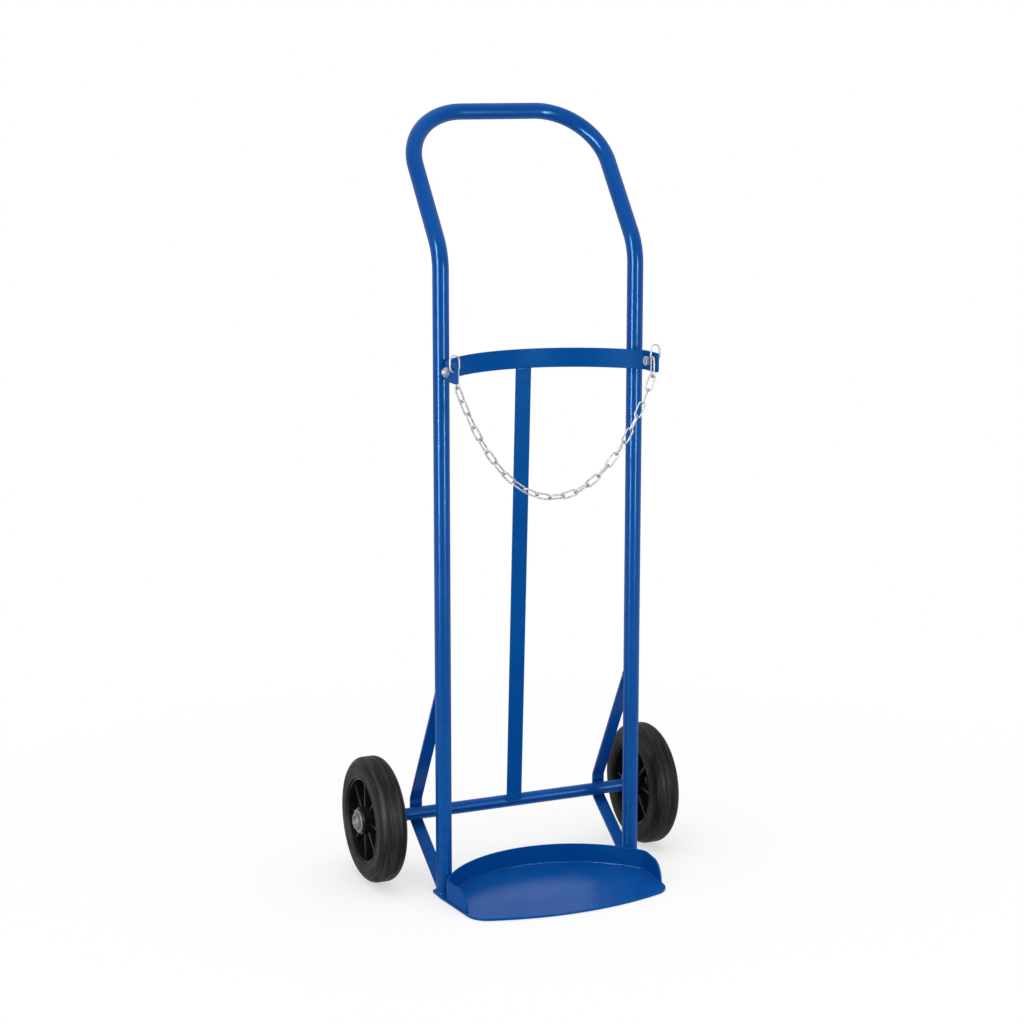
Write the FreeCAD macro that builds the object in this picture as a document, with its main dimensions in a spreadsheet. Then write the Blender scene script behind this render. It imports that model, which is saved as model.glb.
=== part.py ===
import FreeCAD, Part
import math
import os

Vector = FreeCAD.Vector
Rotation = FreeCAD.Rotation
Placement = FreeCAD.Placement

doc = FreeCAD.newDocument("cylinder_trolley")
sheet = doc.addObject("Spreadsheet::Sheet", "Sizes")

# Driving dimensions in millimetres and degrees.
# X runs to the right, Y to the back, Z up; the floor is Z = 0 and the uprights stand on Y = 0.
driving = {
    "tube_diameter": 25,
    "tube_wall": 2,
    "bore_side_count": 8,
    "tube_spacing": 324,
    "lean_height": 1000,
    "lean_angle": 38,
    "lean_length": 259,
    "lean_radius": 80,
    "handle_radius": 100,
    "plate_thickness": 4,
    "plate_margin": 1.5,
    "plate_side": 2.5,
    "plate_straight": 20,
    "plate_reach": 163.5,
    "plate_toe_in": 5.4,
    "plate_corner": 35,
    "plate_heel": 5,
    "plate_nose_radius": 453,
    "rim_height": 31,
    "rim_thickness": 3,
    "rim_centre": 145,
    "rim_corner": 25,
    "rim_reach": 104,
    "rim_end_flat": 1,
    "bar_height": 30,
    "bar_thickness": 4,
    "bar_level": 828,
    "bar_bow": 60,
    "bar_corner": 12,
    "ear_overhang": 4,
    "ear_reach": 72,
    "ear_rounding": 4,
    "bolt_diameter": 8,
    "bolt_clearance": 0.2,
    "bolt_reach": 42,
    "bolt_tip": 3,
    "head_across_flats": 13,
    "head_height": 5.3,
    "nut_height": 6.5,
    "strut_width": 25,
    "strut_thickness": 5,
    "strut_ahead": 9.5,
    "strut_end": 4,
    "axle_diameter": 20,
    "axle_setback": 106,
    "axle_stub": 3,
    "collar_diameter": 30,
    "collar_width": 8,
    "brace_width": 20,
    "brace_thickness": 5,
    "brace_top": 314,
    "brace_foot": 14,
    "brace_rise": 21,
    "brace_drop": 14,
    "brace_bend": 12,
    "wheel_diameter": 200,
    "wheel_offset": 76,
    "tyre_width": 46,
    "tyre_bevel_width": 9,
    "tyre_bevel_height": 11,
    "tyre_seat": 136,
    "rim_barrel_width": 40,
    "rim_barrel_wall": 4,
    "web_thickness": 6,
    "hub_diameter": 46,
    "hub_length": 50,
    "rib_count": 8,
    "rib_thickness": 4,
    "rib_height": 32,
    "running_clearance": 0.05,
    "end_play": 0.4,
    "cap_diameter": 37,
    "cap_brim": 3,
    "cap_crown_diameter": 25,
    "cap_end": 1.5,
    "link_wire": 2.8,
    "link_length": 22.5,
    "link_width": 6.6,
    "link_play": 0.4,
    "first_link_play": 0.8,
    "link_count": 25,
    "link_twist_angle": 45,
    "link_settle_count": 1.6,
    "link_side_count": 6,
    "link_bend_count": 4,
    "first_link_drop": 3.9,
    "end_link_length": 22,
    "end_link_width": 12,
    "chain_hole": 6,
    "chain_reach": 63,
    "chain_rise": 4,
}
for row, (name, value) in enumerate(driving.items(), start=1):
    sheet.set("A%d" % row, name)
    sheet.set("B%d" % row, str(value))
    sheet.setAlias("B%d" % row, name)
doc.recompute()


def size(name):
    return float(sheet.get(name))


def bind(thing, **expressions):
    for path, expression in expressions.items():
        thing.setExpression(path, expression)


def origin_part(body, role):
    for feature in body.Origin.OriginFeatures:
        if feature.Role == role:
            return feature


def new_body(label, position=Vector(0, 0, 0)):
    body = doc.addObject("PartDesign::Body", label)
    body.Label = label
    body.Placement = Placement(position, Rotation())
    return body


def new_sketch(body, plane, geometry):
    sketch = body.newObject("Sketcher::SketchObject", body.Label + "_sketch")
    sketch.AttachmentSupport = [(origin_part(body, plane), "")]
    sketch.MapMode = "FlatFace"
    for piece in geometry:
        sketch.addGeometry(piece, False)
    return sketch


def pad(body, sketch, length, side="One side"):
    feature = body.newObject("PartDesign::Pad", body.Label + "_pad")
    feature.Profile = sketch
    feature.SideType = side
    bind(feature, Length=length)
    body.Tip = feature
    return feature


def cut_through(body, sketch):
    doc.recompute()
    before = body.Shape.Volume
    feature = body.newObject("PartDesign::Pocket", body.Label + "_cut")
    feature.Profile = sketch
    feature.Type = "ThroughAll"
    feature.SideType = "Symmetric"
    body.Tip = feature
    doc.recompute()
    if body.Shape.Volume >= before:
        raise ValueError("nothing was cut from " + body.Label)
    return feature


def revolve(body, sketch):
    feature = body.newObject("PartDesign::Revolution", body.Label + "_turn")
    feature.Profile = sketch
    feature.ReferenceAxis = (sketch, ["H_Axis"])
    feature.Angle = 360
    body.Tip = feature
    return feature


def curves(segments):
    made = []
    for points in segments:
        if len(points) == 2:
            made.append(Part.LineSegment(*points))
        else:
            made.append(Part.Arc(*points))
    return made


def closed_lines(points):
    return curves([(points[i - 1], points[i]) for i in range(len(points))])


def mirrored(segments):
    flip = [tuple(Vector(-p.x, p.y, p.z) for p in reversed(points)) for points in segments]
    return list(reversed(flip))


def polar(centre, radius, angle):
    return centre + Vector(math.cos(angle), math.sin(angle), 0) * radius


def arc_points(centre, radius, first, last):
    middle = (first + last) / 2
    return tuple(polar(centre, radius, angle) for angle in (first, middle, last))


def heading(vector):
    return math.atan2(vector.y, vector.x)


def corner_centre(start, along, inward, corner, centre, reach, exit_side):
    # Centre of a corner of the given radius, tangent to a line and inside a circle.
    base = start + inward * corner - centre
    half = base.dot(along)
    root = math.sqrt(half * half - base.dot(base) + reach * reach)
    travel = -half + root if exit_side else -half - root
    return centre + base + along * travel


def bowed_strip(centre, radius, corner_at, corner, inward, end, thickness):
    # A strip on edge seen from above: one wide bow, a corner each side and two straight ends.
    turn = heading(corner_at - centre)
    side = heading(inward * -1)
    faces = []
    for offset in (thickness / 2, -thickness / 2):
        bow = polar(centre, radius + offset, turn)
        bend = arc_points(corner_at, corner + offset, turn, side)
        tip = end - inward * offset
        right = [bend, (bend[-1], tip)]
        bow_arc = (Vector(-bow.x, bow.y, 0), Vector(0, centre.y + radius + offset, 0), bow)
        faces.append((mirrored(right) + [bow_arc] + right, tip))
    (outer, outer_tip), (inner, inner_tip) = faces
    ends = [(outer_tip, inner_tip)]
    return curves(outer + ends + inner + mirrored(ends))


def rounded_path(points, radii):
    # A wire through the points with each inner corner rounded to its radius.
    edges = []
    last = points[0]
    for before, corner, after, radius in zip(points, points[1:], points[2:], radii):
        into = (before - corner).normalize()
        out = (after - corner).normalize()
        half = into.getAngle(out) / 2
        start = corner + into * (radius / math.tan(half))
        finish = corner + out * (radius / math.tan(half))
        bisector = (into + out).normalize()
        middle = corner + bisector * (radius / math.sin(half) - radius)
        edges.append(Part.LineSegment(last, start).toShape())
        edges.append(Part.Arc(start, middle, finish).toShape())
        last = finish
    edges.append(Part.LineSegment(last, points[-1]).toShape())
    return Part.Wire(edges)


def group(label, members):
    made = doc.addObject("Part::Compound", label)
    made.Links = members
    made.Label = label
    return made


# Places that several pieces share
tube_x = size("tube_spacing") / 2
tube_radius = size("tube_diameter") / 2
floor_top = size("plate_thickness")
axle_centre = Vector(0, size("axle_setback"), size("wheel_diameter") / 2)
axle_radius = size("axle_diameter") / 2
plate_half = tube_x + tube_radius + size("plate_side")
wheel_x = tube_x + size("wheel_offset")
sides = {"left": -1, "right": 1}
sub_parts = []


def frame_tube():
    lean = math.radians(size("lean_angle"))
    lean_length = size("lean_length")
    top_y = lean_length * math.sin(lean)
    top_z = size("lean_height") + lean_length * math.cos(lean)
    right = [
        Vector(tube_x, 0, floor_top),
        Vector(tube_x, 0, size("lean_height")),
        Vector(tube_x, top_y, top_z),
    ]
    left = [Vector(-p.x, p.y, p.z) for p in right]
    bends = [size("lean_radius"), size("handle_radius")]
    path = doc.addObject("Part::Feature", "frame_path")
    path.Shape = rounded_path(left + right[::-1], bends + bends[::-1])
    outside = doc.addObject("Part::Circle", "frame_outside")
    bind(outside, Radius="Sizes.tube_diameter / 2")
    # The bore has a few flats and the area of the round one, which keeps the wall's weight.
    flats = int(size("bore_side_count"))
    bore = tube_radius - size("tube_wall")
    inside = doc.addObject("Part::RegularPolygon", "frame_inside")
    inside.Polygon = flats
    inside.Circumradius = bore * math.sqrt(2 * math.pi / (flats * math.sin(2 * math.pi / flats)))
    pipes = []
    for section in (outside, inside):
        section.Placement = Placement(left[0], Rotation())
        pipe = doc.addObject("Part::Sweep", section.Name + "_pipe")
        pipe.Sections = [section]
        pipe.Spine = (path, ["Edge%d" % (i + 1) for i in range(len(path.Shape.Edges))])
        pipe.Solid = True
        pipes.append(pipe)
    hollow = doc.addObject("Part::Cut", "frame_tube")
    hollow.Base, hollow.Tool = pipes
    hollow.Label = "frame_tube"
    sub_parts.append(hollow)


def plate_side():
    # One side edge of the plate: where its toe-in starts, its direction and its inward normal.
    toe_in = math.radians(size("plate_toe_in"))
    start = Vector(plate_half, -size("plate_straight"), 0)
    along = Vector(-math.sin(toe_in), -math.cos(toe_in), 0)
    inward = Vector(-math.cos(toe_in), math.sin(toe_in), 0)
    return start, along, inward


def rim_radius():
    # Outer face of the rim's bow, which lies against both tubes.
    return math.hypot(tube_x, size("rim_centre")) - tube_radius


def foot_plate():
    start, along, inward = plate_side()
    bow_centre = Vector(0, -size("rim_centre"), 0)
    bow = rim_radius() + size("plate_margin")
    back = tube_radius + size("plate_margin")
    bow_x = math.sqrt(bow ** 2 - (back - bow_centre.y) ** 2)
    heel = size("plate_heel")
    heel_centre = Vector(plate_half - heel, back - heel, 0)
    heel_arc = arc_points(heel_centre, heel, math.pi / 2, 0)
    nose = size("plate_nose_radius")
    nose_centre = Vector(0, nose - size("plate_reach"), 0)
    corner = size("plate_corner")
    corner_at = corner_centre(start, along, inward, corner, nose_centre, nose - corner, True)
    corner_arc = arc_points(corner_at, corner, heading(inward * -1), heading(corner_at - nose_centre))
    right = [
        (Vector(bow_x, back, 0), heel_arc[0]),
        heel_arc,
        (heel_arc[-1], start),
        (start, corner_arc[0]),
        corner_arc,
    ]
    nose_tip = corner_arc[-1]
    nose_arc = (nose_tip, Vector(0, -size("plate_reach"), 0), Vector(-nose_tip.x, nose_tip.y, 0))
    bow_arc = (Vector(-bow_x, back, 0), Vector(0, bow_centre.y + bow, 0), Vector(bow_x, back, 0))
    body = new_body("foot_plate")
    pad(body, new_sketch(body, "XY_Plane", curves(right + [nose_arc] + mirrored(right) + [bow_arc])),
        "Sizes.plate_thickness")
    sub_parts.append(body)


def foot_rim():
    start, along, inward = plate_side()
    thickness = size("rim_thickness")
    corner = size("rim_corner")
    bow_centre = Vector(0, -size("rim_centre"), 0)
    bow = rim_radius() - thickness / 2
    line_start = start + inward * (size("plate_margin") + thickness / 2)
    corner_at = corner_centre(line_start, along, inward, corner, bow_centre, bow - corner, False)
    run = (line_start.y + size("rim_reach")) / -along.y
    end = line_start + along * run
    body = new_body("foot_rim", Vector(0, 0, floor_top))
    outline = bowed_strip(bow_centre, bow, corner_at, corner, inward, end, thickness)
    pad(body, new_sketch(body, "XY_Plane", outline), "Sizes.rim_height")
    # The front ends are cut to a quarter round that starts just above the plate.
    height = size("rim_height")
    flat = size("rim_end_flat")
    rounding = height - flat
    tip = -size("rim_reach")
    clear = height + thickness
    round_centre = Vector(tip + rounding, flat, 0)
    quarter = arc_points(round_centre, rounding, math.pi, math.pi / 2)
    top = quarter[-1]
    cut = [
        quarter,
        (top, Vector(top.x, clear, 0)),
        (Vector(top.x, clear, 0), Vector(tip - thickness, clear, 0)),
        (Vector(tip - thickness, clear, 0), Vector(tip - thickness, flat, 0)),
        (Vector(tip - thickness, flat, 0), quarter[0]),
    ]
    cut_through(body, new_sketch(body, "YZ_Plane", curves(cut)))
    sub_parts.append(body)


def cradle_bow():
    # The bar's bow touches both tubes: its middle radius and its centre follow from the bow's depth.
    touch = tube_radius + size("bar_thickness") / 2
    depth = size("bar_bow")
    radius = (tube_x ** 2 + depth ** 2 - touch ** 2) / (2 * (depth + touch))
    return radius, Vector(0, depth - radius, 0)


def ear_x():
    return tube_x + size("ear_overhang")


def cradle_bar():
    radius, centre = cradle_bow()
    corner = size("bar_corner")
    inward = Vector(-1, 0, 0)
    forward = Vector(0, -1, 0)
    start = Vector(ear_x(), 0, 0)
    corner_at = corner_centre(start, forward, inward, corner, centre, radius - corner, False)
    end = Vector(ear_x(), -size("ear_reach"), 0)
    body = new_body("cradle_bar", Vector(0, 0, size("bar_level") - size("bar_height") / 2))
    outline = bowed_strip(centre, radius, corner_at, corner, inward, end, size("bar_thickness"))
    pad(body, new_sketch(body, "XY_Plane", outline), "Sizes.bar_height")
    middle = size("bar_height") / 2
    bolt_hole = size("bolt_diameter") / 2 + size("bolt_clearance")
    holes = [
        Part.Circle(Vector(-size("bolt_reach"), middle, 0), Vector(0, 0, 1), bolt_hole),
        Part.Circle(Vector(-size("chain_reach"), middle + size("chain_rise"), 0), Vector(0, 0, 1),
                    size("chain_hole") / 2),
    ]
    cut_through(body, new_sketch(body, "YZ_Plane", holes))
    drilled = body.Tip
    tips = []
    for number, edge in enumerate(drilled.Shape.Edges, start=1):
        box = edge.BoundBox
        if box.YMax < end.y + 0.01 and box.ZLength < 0.01:
            tips.append("Edge%d" % number)
    rounding = body.newObject("PartDesign::Fillet", "cradle_bar_ear_corners")
    rounding.Base = (drilled, tips)
    bind(rounding, Radius="Sizes.ear_rounding")
    body.Tip = rounding
    sub_parts.append(body)


def centre_strut():
    # Side view: the strut leans back from under the bar and is coped to sit on the axle's upper front.
    half = size("strut_thickness") / 2
    top = Vector(size("bar_bow"), size("bar_level") - size("bar_height") / 2, 0)
    axle = Vector(axle_centre.y, axle_centre.z, 0)
    foot = axle + Vector(-size("strut_ahead"), size("strut_end"), 0)
    along = (foot - top).normalize()
    shift = half / -along.y
    outline = [
        top + Vector(-shift, 0, 0),
        top + Vector(shift, 0, 0),
        foot + Vector(shift, 0, 0),
        foot + Vector(-shift, 0, 0),
    ]
    body = new_body("centre_strut")
    pad(body, new_sketch(body, "YZ_Plane", closed_lines(outline)), "Sizes.strut_width", "Symmetric")
    cut_through(body, new_sketch(body, "YZ_Plane", [Part.Circle(axle, Vector(0, 0, 1), axle_radius)]))
    sub_parts.append(body)


def hub_face():
    # Outer end of the right hub, seen from the middle of the trolley.
    return wheel_x + size("hub_length") / 2


def axle():
    # A turned bar with a collar inboard of each hub; its stubs carry the caps.
    end = hub_face() + size("end_play") + size("cap_brim") + size("axle_stub")
    collar = size("collar_diameter") / 2
    collar_to = hub_face() - size("hub_length") - size("end_play")
    collar_from = collar_to - size("collar_width")
    right = [
        Vector(collar_from, axle_radius, 0),
        Vector(collar_from, collar, 0),
        Vector(collar_to, collar, 0),
        Vector(collar_to, axle_radius, 0),
        Vector(end, axle_radius, 0),
        Vector(end, 0, 0),
    ]
    left = [Vector(-p.x, p.y, 0) for p in reversed(right)]
    body = new_body("axle", axle_centre)
    revolve(body, new_sketch(body, "XY_Plane", closed_lines(left + right)))
    sub_parts.append(body)


def axle_caps():
    # A brimmed cap pressed over each end of the axle keeps the wheel on.
    brim = size("cap_diameter") / 2
    crown = size("cap_crown_diameter") / 2
    brim_to = size("cap_brim")
    inside = brim_to + size("axle_stub")
    outside = inside + size("cap_end")
    outline = [
        Vector(0, axle_radius, 0),
        Vector(0, brim, 0),
        Vector(brim_to, brim, 0),
        Vector(brim_to, crown, 0),
        Vector(outside, crown, 0),
        Vector(outside, 0, 0),
        Vector(inside, 0, 0),
        Vector(inside, axle_radius, 0),
    ]
    caps = []
    for name, side in sides.items():
        body = new_body("axle_cap_" + name)
        revolve(body, new_sketch(body, "XY_Plane", closed_lines(outline)))
        outward = Rotation(Vector(0, 0, 1), 0 if side > 0 else 180)
        body.Placement = Placement(axle_centre + Vector(side * (hub_face() + size("end_play")), 0, 0), outward)
        caps.append(body)
    sub_parts.append(group("axle_caps", caps))


def braces():
    # Side view: two legs from the tube and a short upright stretch behind the axle between them.
    half = size("brace_thickness") / 2
    back = axle_centre.y + axle_radius + half
    line = [
        Vector(tube_radius, size("brace_top"), 0),
        Vector(back, axle_centre.z + size("brace_rise"), 0),
        Vector(back, axle_centre.z - size("brace_drop"), 0),
        Vector(tube_radius, size("brace_foot"), 0),
    ]
    runs = [(after - before).normalize() for before, after in zip(line, line[1:])]
    normals = [Vector(-run.y, run.x, 0) for run in runs]
    bend = size("brace_bend")
    bends = []
    for corner, first, second in zip(line[1:], normals, normals[1:]):
        out = (first + second).normalize()
        bends.append((corner - out * (bend / out.dot(first)), heading(first), heading(second)))
    faces = []
    for offset in (half, -half):
        face = []
        last = line[0] + Vector(0, offset / normals[0].y, 0)
        for centre, first, second in bends:
            arc = arc_points(centre, bend + offset, first, second)
            face += [(last, arc[0]), arc]
            last = arc[-1]
        face.append((last, line[-1] + Vector(0, offset / normals[-1].y, 0)))
        faces.append(face)
    outer, inner = faces
    ends = [(outer[0][0], inner[0][0]), (outer[-1][-1], inner[-1][-1])]
    for name, side in sides.items():
        body = new_body("brace_" + name, Vector(side * tube_x, 0, 0))
        pad(body, new_sketch(body, "YZ_Plane", curves(outer + inner + ends)), "Sizes.brace_width", "Symmetric")
        sub_parts.append(body)


def wheels():
    half_width = size("tyre_width") / 2
    tread = size("wheel_diameter") / 2
    seat = size("tyre_seat") / 2
    half_tyre = [
        Vector(half_width, seat, 0),
        Vector(half_width, tread - size("tyre_bevel_height"), 0),
        Vector(half_width - size("tyre_bevel_width"), tread, 0),
    ]
    tyre = half_tyre + [Vector(-p.x, p.y, 0) for p in reversed(half_tyre)]
    bore = axle_radius + size("running_clearance")
    hub = size("hub_diameter") / 2
    hub_end = size("hub_length") / 2
    web = size("web_thickness") / 2
    barrel = size("rim_barrel_width") / 2
    barrel_inside = seat - size("rim_barrel_wall")
    half_rim = [
        Vector(hub_end, bore, 0),
        Vector(hub_end, hub, 0),
        Vector(web, hub, 0),
        Vector(web, barrel_inside, 0),
        Vector(barrel, barrel_inside, 0),
        Vector(barrel, seat, 0),
    ]
    rim = half_rim + [Vector(-p.x, p.y, 0) for p in reversed(half_rim)]
    rib = size("rib_thickness") / 2
    rib_from = (bore + hub) / 2
    rib_to = (barrel_inside + seat) / 2
    rib_outline = [
        Vector(-rib, rib_from, 0),
        Vector(rib, rib_from, 0),
        Vector(rib, rib_to, 0),
        Vector(-rib, rib_to, 0),
    ]
    for name, side in sides.items():
        position = axle_centre + Vector(side * wheel_x, 0, 0)
        body = new_body("tyre_" + name, position)
        revolve(body, new_sketch(body, "XY_Plane", closed_lines(tyre)))
        sub_parts.append(body)
        body = new_body("wheel_rim_" + name, position)
        revolve(body, new_sketch(body, "XY_Plane", closed_lines(rim)))
        ribs = pad(body, new_sketch(body, "YZ_Plane", closed_lines(rib_outline)), "Sizes.rib_height", "Symmetric")
        spread = body.newObject("PartDesign::PolarPattern", body.Label + "_ribs")
        spread.Originals = [ribs]
        spread.Axis = (origin_part(body, "X_Axis"), [""])
        spread.Angle = 360
        bind(spread, Occurrences="Sizes.rib_count")
        body.Tip = spread
        sub_parts.append(body)


def link_solid(length, width, wire):
    # A closed link along X and Y: a many-sided wire, each end bent in a few steps.
    steps = int(size("link_bend_count"))
    around = int(size("link_side_count"))
    bend = (width + wire) / 2
    rings = []
    for end in (1, -1):
        centre = Vector(end * (length - width) / 2, 0, 0)
        for step in range(steps + 1):
            angle = (step / steps - 0.5) * math.pi + (0 if end > 0 else math.pi)
            out = Vector(math.cos(angle), math.sin(angle), 0)
            points = []
            for corner in range(around):
                turn = (corner + 0.5) * 2 * math.pi / around
                across = out * (bend + math.cos(turn) * wire / 2)
                points.append(centre + across + Vector(0, 0, math.sin(turn) * wire / 2))
            rings.append(points)
    faces = []
    for i in range(len(rings)):
        first = rings[i - 1]
        second = rings[i]
        for j in range(around):
            corners = [first[j - 1], first[j], second[j], second[j - 1]]
            faces.append(Part.Face(Part.makePolygon(corners + corners[:1])))
    solid = Part.Solid(Part.Shell(faces))
    if solid.Volume < 0:
        solid.reverse()
    return solid


def chain_axis():
    # The ears' chain holes, about which the chain swings.
    return Vector(0, -size("chain_reach"), size("bar_level") + size("chain_rise"))


def end_links():
    # Each end link stands upright through the ear's hole and over its top edge.
    wire = size("link_wire")
    length = size("end_link_length")
    low = chain_axis().z - size("chain_hole") / 2 + wire + size("running_clearance")
    for name, side in sides.items():
        made = doc.addObject("Part::Feature", "end_link_" + name)
        made.Shape = link_solid(length, size("end_link_width"), wire)
        position = Vector(side * ear_x(), chain_axis().y, low + length / 2)
        made.Placement = Placement(position, facing(Vector(0, 0, 1), Vector(1, 0, 0)))
        made.Label = "end_link_" + name
        sub_parts.append(made)


def hanging_curve(span, length):
    # The hanging curve's size for a chain of this length over this span.
    low = span / 20
    high = span * 20
    for _ in range(80):
        middle = (low + high) / 2
        if 2 * middle * math.sinh(span / (2 * middle)) > length:
            low = middle
        else:
            high = middle
    return middle


def chain():
    wire = size("link_wire")
    width = size("link_width")
    # The first link is long enough for the next one to clear the ear's lower edge.
    first = size("bar_height") / 2 + size("chain_rise") + size("first_link_drop") + width / 2 + wire
    pitch = size("link_length") - size("link_play")
    count = int(size("link_count"))
    axis = chain_axis()
    # The first and last links hang straight down, midway between the ear and the end link's leg.
    gap_from = ear_x() - size("bar_thickness") / 2
    gap_to = ear_x() - size("end_link_width") / 2
    hang_x = (gap_from + gap_to) / 2
    hang_z = axis.z - (first - width) / 2
    low_z = axis.z - (first - width / 2) + size("first_link_play")
    hanging = count - 2
    curve = hanging_curve(2 * hang_x, hanging * pitch)
    bottom = low_z - curve * (math.cosh(hang_x / curve) - 1)
    joints = []
    for i in range(hanging + 1):
        x = curve * math.asinh((i - hanging / 2) * pitch / curve)
        joints.append(Vector(x, axis.y, bottom + curve * (math.cosh(x / curve) - 1)))
    flat = []
    upright = []
    long_link = link_solid(first, width, wire)
    for x in (-hang_x, hang_x):
        link = long_link.copy()
        link.Placement = Placement(Vector(x, axis.y, hang_z), facing(Vector(0, 0, 1), Vector(0, 1, 0)))
        flat.append(link)
    plain = link_solid(size("link_length"), width, wire)
    for i in range(hanging):
        along = (joints[i + 1] - joints[i]).normalize()
        middle = (joints[i] + joints[i + 1]) * 0.5
        # Away from its ends the chain settles with every link turned half-way from flat to upright.
        from_end = min(i, hanging - 1 - i) + 1
        settled = 1 - math.exp(-from_end / size("link_settle_count"))
        twist = Rotation(along, -size("link_twist_angle") * settled)
        link = plain.copy()
        if i % 2 == 0:
            link.Placement = Placement(middle, facing(along, twist.multVec(along.cross(Vector(0, 1, 0)))))
            upright.append(link)
        else:
            link.Placement = Placement(middle, facing(along, twist.multVec(Vector(0, 1, 0))))
            flat.append(link)
    for label, links in (("chain_links_flat", flat), ("chain_links_upright", upright)):
        made = doc.addObject("Part::Feature", label)
        made.Shape = Part.makeCompound(links)
        made.Label = label
        sub_parts.append(made)


def facing(along, across):
    return Rotation(along, across, along.cross(across), "XYZ")


def ear_fasteners():
    # A bolt through each ear: head inside, nut outside.
    inner_face = ear_x() - size("bar_thickness") / 2
    outer_face = ear_x() + size("bar_thickness") / 2
    tip = outer_face + size("nut_height") + size("bolt_tip")
    for name, side in sides.items():
        line = Vector(0, -size("bolt_reach"), size("bar_level"))
        outward = Rotation(Vector(0, 1, 0), 90 * side)
        head = doc.addObject("Part::Prism", "bolt_head_" + name)
        head.Polygon = 6
        bind(head, Circumradius="Sizes.head_across_flats / sqrt(3)", Height="Sizes.head_height")
        head.Placement = Placement(line + Vector(side * (inner_face - size("head_height")), 0, 0), outward)
        shank = doc.addObject("Part::Cylinder", "bolt_shank_" + name)
        bind(shank, Radius="Sizes.bolt_diameter / 2")
        shank.Height = tip - inner_face
        shank.Placement = Placement(line + Vector(side * inner_face, 0, 0), outward)
        bolt = doc.addObject("Part::Fuse", "ear_bolt_" + name)
        bolt.Base = head
        bolt.Tool = shank
        bolt.Label = "ear_bolt_" + name
        sub_parts.append(bolt)
        block = doc.addObject("Part::Prism", "nut_block_" + name)
        block.Polygon = 6
        bind(block, Circumradius="Sizes.head_across_flats / sqrt(3)", Height="Sizes.nut_height")
        thread = doc.addObject("Part::Cylinder", "nut_thread_" + name)
        bind(thread, Radius="Sizes.bolt_diameter / 2", Height="Sizes.nut_height")
        nut = doc.addObject("Part::Cut", "ear_nut_" + name)
        nut.Base = block
        nut.Tool = thread
        nut.Placement = Placement(line + Vector(side * outer_face, 0, 0), outward)
        nut.Label = "ear_nut_" + name
        sub_parts.append(nut)


frame_tube()
foot_plate()
foot_rim()
cradle_bar()
centre_strut()
axle()
braces()
wheels()
axle_caps()
end_links()
chain()
ear_fasteners()
doc.recompute()

for thing in doc.Objects:
    if "Invalid" in thing.State or "Error" in thing.State:
        raise ValueError("%s did not build: %s" % (thing.Label, thing.State))
os.makedirs("parts", exist_ok=True)
for thing in sub_parts:
    if thing.Shape.isNull() or not thing.Shape.isValid():
        raise ValueError("%s has no valid shape" % thing.Label)
    thing.Shape.exportStep("parts/%s.step" % thing.Label)
    print(thing.Label, len(thing.Shape.Solids), round(thing.Shape.Volume))
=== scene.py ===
import bpy
import bmesh
import math
from mathutils import Matrix, Vector, noise


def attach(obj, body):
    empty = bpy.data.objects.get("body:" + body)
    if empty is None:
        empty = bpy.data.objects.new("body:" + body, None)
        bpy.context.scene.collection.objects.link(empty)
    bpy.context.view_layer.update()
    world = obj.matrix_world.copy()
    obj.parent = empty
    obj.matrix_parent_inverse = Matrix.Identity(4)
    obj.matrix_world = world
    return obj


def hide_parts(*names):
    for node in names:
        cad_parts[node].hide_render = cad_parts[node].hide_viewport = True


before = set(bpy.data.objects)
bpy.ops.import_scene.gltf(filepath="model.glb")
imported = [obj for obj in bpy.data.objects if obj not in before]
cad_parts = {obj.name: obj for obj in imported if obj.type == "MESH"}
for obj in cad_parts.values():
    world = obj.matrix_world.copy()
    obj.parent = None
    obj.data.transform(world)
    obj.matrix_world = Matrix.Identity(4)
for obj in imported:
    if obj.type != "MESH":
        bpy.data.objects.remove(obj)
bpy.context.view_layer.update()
scene = bpy.context.scene
print("frame loaded:", len(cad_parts), "nodes")

# Sizes are in millimetres, and become metres when a piece is made.
# X runs to the right, Y to the back, Z up.
tubeX = 162
tubeRadius = 12.5
floorTop = 4
axleAt = Vector((0, 106, 100))
axleRadius = 10
wheelX = 238
sides = {"left": -1, "right": 1}
millimetre = 0.001
toRight = Vector((1, 0, 0))
toBack = Vector((0, 1, 0))
toTop = Vector((0, 0, 1))


# shader helpers

def newGroup(name, inputs, outputs):
    group = bpy.data.node_groups.new(name, "ShaderNodeTree")
    for label, value in inputs:
        socket = group.interface.new_socket(name=label, in_out="INPUT", socket_type="NodeSocketFloat")
        socket.default_value = value
    for label in outputs:
        group.interface.new_socket(name=label, in_out="OUTPUT", socket_type="NodeSocketFloat")
    return group, group.nodes.new("NodeGroupInput"), group.nodes.new("NodeGroupOutput")


def mathNode(tree, operation, first, second=None, clamp=False):
    node = tree.nodes.new("ShaderNodeMath")
    node.operation = operation
    node.use_clamp = clamp
    for socket, value in zip(node.inputs, (first, second)):
        if value is None:
            continue
        if isinstance(value, (int, float)):
            socket.default_value = value
        else:
            tree.links.new(value, socket)
    return node.outputs[0]


def rangeNode(tree, value, low, high, toLow=0.0, toHigh=1.0):
    node = tree.nodes.new("ShaderNodeMapRange")
    tree.links.new(value, node.inputs["Value"])
    for label, bound in (("From Min", low), ("From Max", high), ("To Min", toLow), ("To Max", toHigh)):
        if isinstance(bound, (int, float)):
            node.inputs[label].default_value = bound
        else:
            tree.links.new(bound, node.inputs[label])
    return node.outputs["Result"]


def mixColour(tree, factor, first, second):
    node = tree.nodes.new("ShaderNodeMix")
    node.data_type = "RGBA"
    tree.links.new(factor, node.inputs[0])
    for socket, colour in ((node.inputs[6], first), (node.inputs[7], second)):
        if isinstance(colour, tuple):
            socket.default_value = (*colour, 1)
        else:
            tree.links.new(colour, socket)
    return node.outputs[2]


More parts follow.
